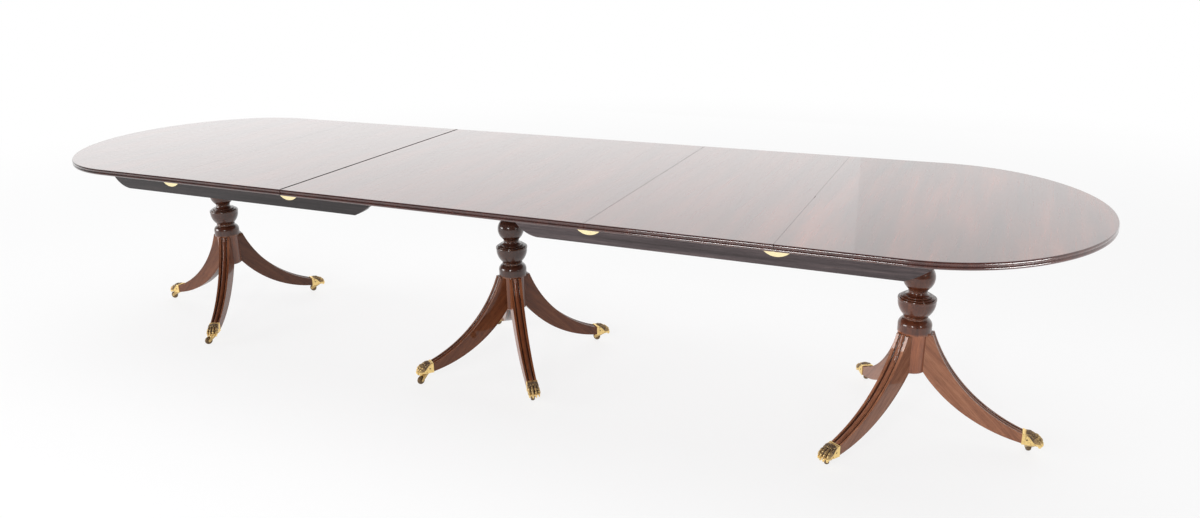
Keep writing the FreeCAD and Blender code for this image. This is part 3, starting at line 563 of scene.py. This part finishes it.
def build_dressing_tree():
    """Joins a board's triangles, smooths them, and stores its grain and its painted light and shade."""
    tree, entry, leave = new_tree("Dress a board", {"Pivot": "Vector", "Turn": "Vector", "Painted Light": "Vector"})
    joined = add_node(tree, "GeometryNodeMergeByDistance", Distance=JOIN_DISTANCE)
    angle = add_node(tree, "GeometryNodeInputMeshEdgeAngle")
    sharp = add_node(tree, "FunctionNodeCompare", operation="GREATER_THAN", B=SHARP_ANGLE)
    edges = add_node(tree, "GeometryNodeSetShadeSmooth", domain="EDGE", Shade_Smooth=False)
    faces = add_node(tree, "GeometryNodeSetShadeSmooth", domain="FACE")
    place = add_node(tree, "GeometryNodeInputPosition")
    offset = add_node(tree, "ShaderNodeVectorMath", operation="SUBTRACT")
    turned = add_node(tree, "ShaderNodeVectorRotate", rotation_type="EULER_XYZ", invert=True)
    grained, painted_light_stored = store_vector(tree, "grain"), store_vector(tree, "painted_light")
    link = tree.links.new
    link(entry.outputs["Geometry"], joined.inputs["Geometry"])
    link(angle.outputs["Unsigned Angle"], sharp.inputs["A"])
    link(joined.outputs["Geometry"], edges.inputs["Geometry"])
    link(sharp.outputs["Result"], edges.inputs["Selection"])
    link(edges.outputs["Geometry"], faces.inputs["Geometry"])
    link(place.outputs["Position"], offset.inputs[0])
    link(entry.outputs["Pivot"], offset.inputs[1])
    link(offset.outputs["Vector"], turned.inputs["Vector"])
    link(entry.outputs["Turn"], turned.inputs["Rotation"])
    link(faces.outputs["Geometry"], grained.inputs["Geometry"])
    link(turned.outputs["Vector"], grained.inputs["Value"])
    link(grained.outputs["Geometry"], painted_light_stored.inputs["Geometry"])
    link(entry.outputs["Painted Light"], painted_light_stored.inputs["Value"])
    link(painted_light_stored.outputs["Geometry"], leave.inputs["Geometry"])
    return tree


dressing = build_dressing_tree()
dressing_inputs = input_names(dressing)


def dress(node, material, pivot=(0, 0, 0), turn=(0, 0, 0), painted_light=1.0, painted_sheen_tint=WHITE):
    """Gives a solid piece its material, smooth shading, grain, and painted light: a factor times a tint."""
    piece = nodes[node]
    modifier = piece.modifiers.new("Dressing", "NODES")
    modifier.node_group = dressing
    modifier[dressing_inputs["Pivot"]] = pivot
    modifier[dressing_inputs["Turn"]] = turn
    modifier[dressing_inputs["Painted Light"]] = [painted_light * part for part in painted_sheen_tint]
    piece.data.materials.clear()
    piece.data.materials.append(material)


ACROSS = (0, 0, math.radians(90))
UPRIGHT = (0, math.radians(90), 0)
LEG_SLOPE = math.radians(45)
BOARD_STEP = (0.31, 1.7, 0)
# Painted light and shade: each column and leg is made lighter or darker as the light falls on it.
COLUMN_PAINTED_LIGHT = {"left": 0.75, "centre": 0.60, "right": 1.4}
LEG_PAINTED_LIGHT = {"left": {"outer": 0.50, "front": 0.62, "back": 0.37},
             "centre": {"front_left": 0.50, "front_right": 0.80, "back_right": 0.60, "back_left": 0.65},
             "right": {"outer": 1.30, "front": 1.22, "back": 0.95}}
# Painted sheen: the legs are tinted towards grey as if they mirrored white, the right ones most.
LEG_PAINTED_SHEEN_TINTS = {"left": (1, 1.03, 1.1), "centre": WHITE, "right": (0.95, 1.25, 1.8)}
# Painted light and shade: the left rails darker and the right ones lighter, as the light falls on them.
RAIL_PAINTED_LIGHT = {"left": 0.5, "right": 1.8}


def pedestal_axis(name):
    """Where a pedestal stands on the floor."""
    low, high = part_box(f"{name}_column")
    return Vector(((low.x + high.x) / 2, (low.y + high.y) / 2, 0))


feet = {}
for joint in behaviour["joints"]:
    if "_swivel_" in joint["name"]:
        name, position = joint["name"].split("_swivel_")
        outward = Vector(joint["pos_m"]) - pedestal_axis(name)
        feet[name, position] = math.atan2(outward.y, outward.x)

for number, top in enumerate(TOPS):
    wood = end_wood if top == "right_end_top" else top_wood
    dress(top, wood, pivot=[number * step for step in BOARD_STEP], turn=ACROSS)
for node in nodes:
    if node.endswith("clips"):
        dress(node, clip_brass)
    elif node.endswith("rail"):
        dress(node, rail_wood_in_painted_shade, painted_light=RAIL_PAINTED_LIGHT[node.split("_")[0]])
    elif "bearer" in node or node.endswith("block"):
        dress(node, rail_wood_in_painted_shade, turn=ACROSS)
for name, painted_light in COLUMN_PAINTED_LIGHT.items():
    dress(f"{name}_column", column_wood, pivot=pedestal_axis(name), turn=UPRIGHT, painted_light=painted_light)
for (name, position), angle in feet.items():
    dress(f"{name}_leg_{position}", leg_wood, pivot=pedestal_axis(name), turn=(0, LEG_SLOPE, angle),
          painted_light=LEG_PAINTED_LIGHT[name][position], painted_sheen_tint=LEG_PAINTED_SHEEN_TINTS[name])
    dress(f"{name}_fork_{position}", fork_brass)
    dress(f"{name}_wheel_{position}", wheel_brass)
print("feet:", len(feet))

# %% [markdown]
# Each leg ends in a cast lion's paw. One paw is modelled from simple lumps, as a caster would build up
# the wax: a socket with a raised rim, four toes with knuckles and claws, and locks of hair behind them.
# Its sizes are in millimetres, with X running from the rim to the claws.
# A voxel remesh melts the lumps into one skin and a bore is cut for the castor's stem.
# The hollows and the hair then get their patina as an attribute, and ten copies go to the legs.

# %% Sculpt the brass paws
MM = 0.001
PAW_START = Vector((327, 0, 36.6)) * MM
PAW_HEIGHT = 34.4
SOCKET_HALF, SOCKET_START, SOCKET_END = 18, 0.5, 24
RIM_WIDTH, RIM_PROUD = 5, 1.2
BALL_CENTRE, BALL_RADII, BALL_SLOPE = (30, 0, 13), (21, 19, 15), 4
SOLE_LOW, SOLE_HIGH = (22, -16, 0), (44, 16, 10)
TOE_SPREAD = (-16.2, -5.5, 5.5, 16.2)
OUTER_TOE, OUTER_TOE_SETBACK = 10, 4.5
BACK_SINK, BACK_ROUNDING = 0.5, 0.02
BACK_FALL, BACK_START, BACK_LENGTH = 14, 22, 34
LOCK_ROWS, LOCKS_ASIDE, LOCK_STEP = (13, 18, 23, 28), 4, 4.8
LOCK_RADII, LOCK_SLOPE, LOCK_SLOPE_STEP = (5.2, 2.3, 3.0), 14, 6
TUFT_ROWS, TUFT_INSET, TUFT_TOP, TUFT_STEP = (20, 24, 28), 0.5, 27, 5.5
TUFT_RADII, TUFT_SLOPE, TUFT_SLOPE_STEP = (6.0, 2.2, 2.6), 40, 8
BORE_PLACE, BORE_RADIUS, BORE_DEPTH, BORE_OVERRUN = 27, 4.2, 14.5, 2
LUMP_ROUNDNESS, BORE_SIDES = 3, 24
VOXEL, SOFTENING, FACES_KEPT = 0.75, 3, 0.4
# The lumps of a toe: distance from the rim, share of the spread, height, radii and slope.
TOE_LUMPS = {"knuckle": (33, 0.86, 22.5, (10.5, 5.0, 8.5), 18),
             "joint": (42, 0.95, 18, (9.5, 5.3, 9.5), 30),
             "pad": (49, 1, 11, (8.5, 5.2, 10.5), 0),
             "claw": (55, 1, 2, (4.8, 2.7, 7.0), 20)}


def lump(mesh, centre, radii, slope=0):
    """An egg-shaped lump, its X axis sloping down by an angle in degrees."""
    place = Matrix.Translation(centre) @ Matrix.Rotation(math.radians(slope), 4, "Y")
    bmesh.ops.create_icosphere(mesh, subdivisions=LUMP_ROUNDNESS, radius=1,
                               matrix=place @ Matrix.Diagonal((*radii, 1)))


def slab(mesh, low, high):
    """A block between two corners."""
    low, high = Vector(low), Vector(high)
    matrix = Matrix.Translation((low + high) / 2) @ Matrix.Diagonal((*(high - low), 1))
    bmesh.ops.create_cube(mesh, size=1, matrix=matrix)


def back_height(x):
    """Height of the paw's back at a distance from the rim."""
    return PAW_HEIGHT - BACK_SINK - BACK_FALL * max(0, (x - BACK_START) / BACK_LENGTH) ** 2


def lay_toe(mesh, y, setback):
    """One digit from its knuckle down to the claw."""
    for x, spread, z, radii, slope in TOE_LUMPS.values():
        lump(mesh, (x - setback, spread * y, z), radii, slope)


def lay_hair(mesh):
    """Rows of short locks over the back, each row set between those of the last, and tufts at the sides."""
    for row, x in enumerate(LOCK_ROWS):
        for k in range(-LOCKS_ASIDE, LOCKS_ASIDE + 1):
            y = (k + 0.5 * (row % 2)) * LOCK_STEP
            if abs(y) < SOCKET_HALF:
                z = back_height(x) - BACK_ROUNDING * y * y
                lump(mesh, (x, y, z), LOCK_RADII, LOCK_SLOPE + LOCK_SLOPE_STEP * row)
    for side in (-1, 1):
        for row, x in enumerate(TUFT_ROWS):
            place = (x, side * (SOCKET_HALF - TUFT_INSET), TUFT_TOP - TUFT_STEP * row)
            lump(mesh, place, TUFT_RADII, TUFT_SLOPE + TUFT_SLOPE_STEP * row)


def lay_lumps(mesh):
    """All the lumps of a paw: socket, rim, ball, sole, toes and hair."""
    slab(mesh, (SOCKET_START, -SOCKET_HALF, 0), (SOCKET_END, SOCKET_HALF, PAW_HEIGHT))
    rim_half = SOCKET_HALF + RIM_PROUD
    slab(mesh, (0, -rim_half, 0), (RIM_WIDTH, rim_half, PAW_HEIGHT + RIM_PROUD))
    lump(mesh, BALL_CENTRE, BALL_RADII, BALL_SLOPE)
    slab(mesh, SOLE_LOW, SOLE_HIGH)
    for y in TOE_SPREAD:
        lay_toe(mesh, y, OUTER_TOE_SETBACK if abs(y) > OUTER_TOE else 0)
    lay_hair(mesh)


def mesh_of(item):
    """A plain mesh of an object with its modifiers applied."""
    graph = bpy.context.evaluated_depsgraph_get()
    return bpy.data.meshes.new_from_object(item.evaluated_get(graph))


def bmesh_object(name, build):
    """An object in the scene from a function that fills a bmesh."""
    mesh = bpy.data.meshes.new(name)
    work = bmesh.new()
    build(work)
    work.to_mesh(mesh)
    work.free()
    item = bpy.data.objects.new(name, mesh)
    scene.collection.objects.link(item)
    return item


def bore_cutter(mesh):
    """A rod as wide and as deep as the stem's bore, which starts below the paw."""
    place = Matrix.Translation((BORE_PLACE, 0, (BORE_DEPTH - BORE_OVERRUN) / 2))
    bmesh.ops.create_cone(mesh, cap_ends=True, segments=BORE_SIDES, radius1=BORE_RADIUS,
                          radius2=BORE_RADIUS, depth=BORE_DEPTH + BORE_OVERRUN, matrix=place)


HAIR_START, HAIR_DROP, HAIR_BLUR = (8, 12), 4, 2
HAIR_FALL, HAIR_FALL_SPAN = 22, (12, 40)
BARE_PATINA, HOLLOW_PATINA = 0.07, 2.8
HAIR_PATINA, HAIR_CONTRAST = 0.66, 3.0
KNUCKLE_RUB, KNUCKLE_SPAN = 0.22, (30, 42)


def smooth_step(value, low, high):
    """Nought below one value and one above another, with a smooth rise between them."""
    share = min(1, max(0, (value - low) / (high - low)))
    return share * share * (3 - 2 * share)


def patina_at(place, depth):
    """Patina at a place on the paw that lies deeper than its surroundings by a share."""
    x, _, z = place
    hair_line = PAW_HEIGHT - HAIR_DROP - HAIR_FALL * smooth_step(x, *HAIR_FALL_SPAN)
    hair = smooth_step(z - hair_line, -HAIR_BLUR, HAIR_BLUR) * smooth_step(x, *HAIR_START)
    shade = HAIR_PATINA - KNUCKLE_RUB * smooth_step(x, *KNUCKLE_SPAN)
    amount = BARE_PATINA + hair * (shade + HAIR_CONTRAST * depth) + HOLLOW_PATINA * max(0, depth)
    return min(1, max(0, amount))


def stain_paw(mesh):
    """Stores the patina: dark hollows, most of all between the locks, and a bright rim, sides and claws."""
    work = bmesh.new()
    work.from_mesh(mesh)
    work.normal_update()
    hollow = {}
    for vertex in work.verts:
        steps = [(edge.other_vert(vertex).co - vertex.co).normalized() for edge in vertex.link_edges]
        hollow[vertex.index] = sum(step.dot(vertex.normal) for step in steps) / max(1, len(steps))
    patina = mesh.attributes.new("patina", "FLOAT", "POINT")
    for vertex in work.verts:
        around = [hollow[edge.other_vert(vertex).index] for edge in vertex.link_edges]
        around.append(hollow[vertex.index])
        patina.data[vertex.index].value = patina_at(vertex.co, sum(around) / len(around))
    work.free()


def sculpt_paw():
    """The mesh of one paw in millimetres, with its patina."""
    paw = bmesh_object("Paw pattern", lay_lumps)
    skin = paw.modifiers.new("Melt", "REMESH")
    skin.mode = "VOXEL"
    skin.voxel_size = VOXEL
    paw.modifiers.new("Soften", "SMOOTH").iterations = SOFTENING
    paw.modifiers.new("Thin", "DECIMATE").ratio = FACES_KEPT
    cutter = bmesh_object("Bore cutter", bore_cutter)
    bore = paw.modifiers.new("Bore", "BOOLEAN")
    bore.operation = "DIFFERENCE"
    bore.object = cutter
    mesh = mesh_of(paw)
    for item in (paw, cutter):
        bpy.data.objects.remove(item)
    stain_paw(mesh)
    mesh.shade_smooth()
    return mesh


paw_mesh = sculpt_paw()
for (name, position), angle in feet.items():
    mesh = paw_mesh.copy()
    place = Matrix.Translation(pedestal_axis(name)) @ Matrix.Rotation(angle, 4, "Z")
    mesh.transform(place @ Matrix.Translation(PAW_START) @ Matrix.Scale(MM, 4))
    mesh.materials.append(paw_brass)
    paw = bpy.data.objects.new(f"{name}_lion_paw_{position}", mesh)
    scene.collection.objects.link(paw)
    node = f"{name}_paw_{position}"
    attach(paw, body_of[node])
    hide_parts(node)
print("paw faces:", len(paw_mesh.polygons))

# %% [markdown]
# Years of waxing have filled the tight seams. Each filling is a thin strip on the edge of a leaf, a hair
# short of the next board, so that it slides away with the leaf. In the seam of the right end it lies almost
# level with the polish and hides the seam, but for one place where a chip has broken out.

# %% Fill the tight seams
WAX_DROPS = {"left": {"left_end_top": 1.0 * MM},
             "right": {"centre_top": 2.0 * MM, "right_end_top": 0.7 * MM}}
WAX_COLOUR = (0.12, 0.030, 0.018)
WAX_DEPTH, WAX_ROOM = 14 * MM, 0.15 * MM
CHIPPED_SEAM = "right_end_top"
CHIP_START, CHIP_END, CHIP_DEPTH = -52 * MM, -30 * MM, 11 * MM


def lay_wax(mesh, hand):
    """Fills the seams of one leaf: each strip is an outline along the seam, drawn out across the gap."""
    for neighbour, drop in WAX_DROPS[hand].items():
        edge, next_edge = facing_edges(f"{hand}_leaf", neighbour)
        top = cad_high.z - drop
        base = top - WAX_DEPTH
        outline = [(-FLAT_HALF, top), (-FLAT_HALF, base), (FLAT_HALF, base), (FLAT_HALF, top)]
        if neighbour == CHIPPED_SEAM:
            chip_base = top - CHIP_DEPTH
            outline += [(CHIP_END, top), (CHIP_END, chip_base),
                        (CHIP_START, chip_base), (CHIP_START, top)]
        end = next_edge - math.copysign(WAX_ROOM, next_edge - edge)
        here, there = ([mesh.verts.new((x, y, z)) for y, z in outline] for x in (edge, end))
        mesh.faces.new(here)
        mesh.faces.new(there)
        for k in range(len(outline)):
            mesh.faces.new((here[k - 1], here[k], there[k], there[k - 1]))
    bmesh.ops.recalc_face_normals(mesh, faces=mesh.faces)


def make_wax():
    """Wax as dark and as smooth as the top beside it."""
    material, _, shader = new_material("Seam wax")
    shader.inputs["Base Color"].default_value = (*WAX_COLOUR, 1)
    shader.inputs["Roughness"].default_value = TOP_ROUGHNESS
    polish(shader, coat=1.0)
    return material


seam_wax = make_wax()
for hand in WAX_DROPS:
    strip = bmesh_object(f"{hand}_seam_wax", lambda mesh: lay_wax(mesh, hand))
    strip.data.materials.append(seam_wax)
    not_tops.objects.link(strip)
    not_tops.collection_objects[-1].light_linking.link_state = "EXCLUDE"
    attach(strip, f"{hand}_leaf_unit")
print("waxed seams:", sum(len(seams) for seams in WAX_DROPS.values()))

# %% [markdown]
# Slotted screws hold the paws and the half-moon plates. They are all alike, so Geometry Nodes makes one,
# cuts its slot and sets a copy at every point, each turned by chance as a screwdriver leaves it.
# A point carries the direction its screw faces. The result becomes one plain mesh for each moving body.

# %% Set the screws
HEAD_SIDES = 24
SLOT_LENGTH_IN_RADII, SLOT_LIFT_IN_HEIGHTS = 3, 0.75


def build_screw_tree():
    """A slotted screw head on every point, aimed by the point's facing attribute."""
    tree, entry, leave = new_tree("Set screws", {"Head Radius": "Float", "Head Height": "Float",
                                                 "Slot Width": "Float", "Seed": "Int",
                                                 "Material": "Material"})
    given = entry.outputs
    head = add_node(tree, "GeometryNodeMeshCylinder", Vertices=HEAD_SIDES)
    size = add_node(tree, "ShaderNodeCombineXYZ")
    slot = add_node(tree, "GeometryNodeMeshCube")
    lift = add_node(tree, "ShaderNodeCombineXYZ")
    raised = add_node(tree, "GeometryNodeTransform")
    carved = add_node(tree, "GeometryNodeMeshBoolean", operation="DIFFERENCE")
    facing = add_node(tree, "GeometryNodeInputNamedAttribute", data_type="FLOAT_VECTOR", Name="facing")
    aim = add_node(tree, "FunctionNodeAlignRotationToVector", axis="Z")
    chance = add_node(tree, "FunctionNodeRandomValue", data_type="FLOAT", Max=math.pi)
    spin = add_node(tree, "FunctionNodeAxisAngleToRotation", Axis=(0, 0, 1))
    spun = add_node(tree, "FunctionNodeRotateRotation", rotation_space="LOCAL")
    copies = add_node(tree, "GeometryNodeInstanceOnPoints")
    real = add_node(tree, "GeometryNodeRealizeInstances")
    finish = add_node(tree, "GeometryNodeSetMaterial")
    link = tree.links.new
    link(given["Head Radius"], head.inputs["Radius"])
    link(given["Head Height"], head.inputs["Depth"])
    link(do_math(tree, "MULTIPLY", given["Head Radius"], SLOT_LENGTH_IN_RADII), size.inputs["X"])
    link(given["Slot Width"], size.inputs["Y"])
    link(given["Head Height"], size.inputs["Z"])
    link(size.outputs[0], slot.inputs["Size"])
    link(do_math(tree, "MULTIPLY", given["Head Height"], SLOT_LIFT_IN_HEIGHTS), lift.inputs["Z"])
    link(slot.outputs["Mesh"], raised.inputs["Geometry"])
    link(lift.outputs[0], raised.inputs["Translation"])
    link(head.outputs["Mesh"], carved.inputs["Mesh 1"])
    link(raised.outputs["Geometry"], carved.inputs["Mesh 2"])
    link(facing.outputs["Attribute"], aim.inputs["Vector"])
    link(given["Seed"], chance.inputs["Seed"])
    link(chance.outputs[1], spin.inputs["Angle"])
    link(aim.outputs["Rotation"], spun.inputs["Rotation"])
    link(spin.outputs["Rotation"], spun.inputs["Rotate By"])
    link(given["Geometry"], copies.inputs["Points"])
    link(carved.outputs["Mesh"], copies.inputs["Instance"])
    link(spun.outputs["Rotation"], copies.inputs["Rotation"])
    link(copies.outputs["Instances"], real.inputs["Geometry"])
    link(real.outputs["Geometry"], finish.inputs["Geometry"])
    link(given["Material"], finish.inputs["Material"])
    link(finish.outputs["Geometry"], leave.inputs["Geometry"])
    return tree


screw_tree = build_screw_tree()
screw_inputs = input_names(screw_tree)
SCREW_LOOK = {"Head Radius": 2.6 * MM, "Head Height": 1.2 * MM, "Slot Width": 0.8 * MM, "Seed": 7}
CAP_SCREW = Vector((341, SOCKET_HALF, 53)) * MM
CLIP_SCREW_DROP = 6 * MM
PROUD = 0.2 * MM


def set_screws(body, points):
    """One piece with a screw at every (place, facing) point of a body."""
    sink = PROUD - SCREW_LOOK["Head Height"] / 2
    mesh = bpy.data.meshes.new("Screw points")
    mesh.from_pydata([place + facing * sink for place, facing in points], [], [])
    aims = mesh.attributes.new("facing", "FLOAT_VECTOR", "POINT")
    for item, (_, facing) in zip(aims.data, points):
        item.vector = facing
    source = bpy.data.objects.new("Screw source", mesh)
    scene.collection.objects.link(source)
    modifier = source.modifiers.new("Screws", "NODES")
    modifier.node_group = screw_tree
    for name, value in SCREW_LOOK.items():
        modifier[screw_inputs[name]] = value
    modifier[screw_inputs["Material"]] = screw_brass
    result = mesh_of(source)
    bpy.data.objects.remove(source)
    piece = bpy.data.objects.new(f"{body}_screws", result)
    scene.collection.objects.link(piece)
    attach(piece, body)


screw_points = {}
for (name, position), angle in feet.items():
    turn = Matrix.Rotation(angle, 4, "Z")
    for side in (-1, 1):
        place = pedestal_axis(name) + turn @ Vector((CAP_SCREW.x, side * CAP_SCREW.y, CAP_SCREW.z))
        facing = turn @ Vector((0, side, 0))
        screw_points.setdefault(body_of[f"{name}_paw_{position}"], []).append((place, facing))
for hand in ("left", "right"):
    leaf_low, leaf_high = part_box(f"{hand}_leaf")
    clip_low, clip_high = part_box(f"{hand}_clips")
    for seam in (leaf_low.x, leaf_high.x):
        for y, side in ((clip_low.y, -1), (clip_high.y, 1)):
            place = Vector((seam, y, clip_high.z - CLIP_SCREW_DROP))
            screw_points.setdefault(f"{hand}_leaf_unit", []).append((place, Vector((0, side, 0))))
for body, points in screw_points.items():
    set_screws(body, points)
print("screws:", {body: len(points) for body, points in screw_points.items()})
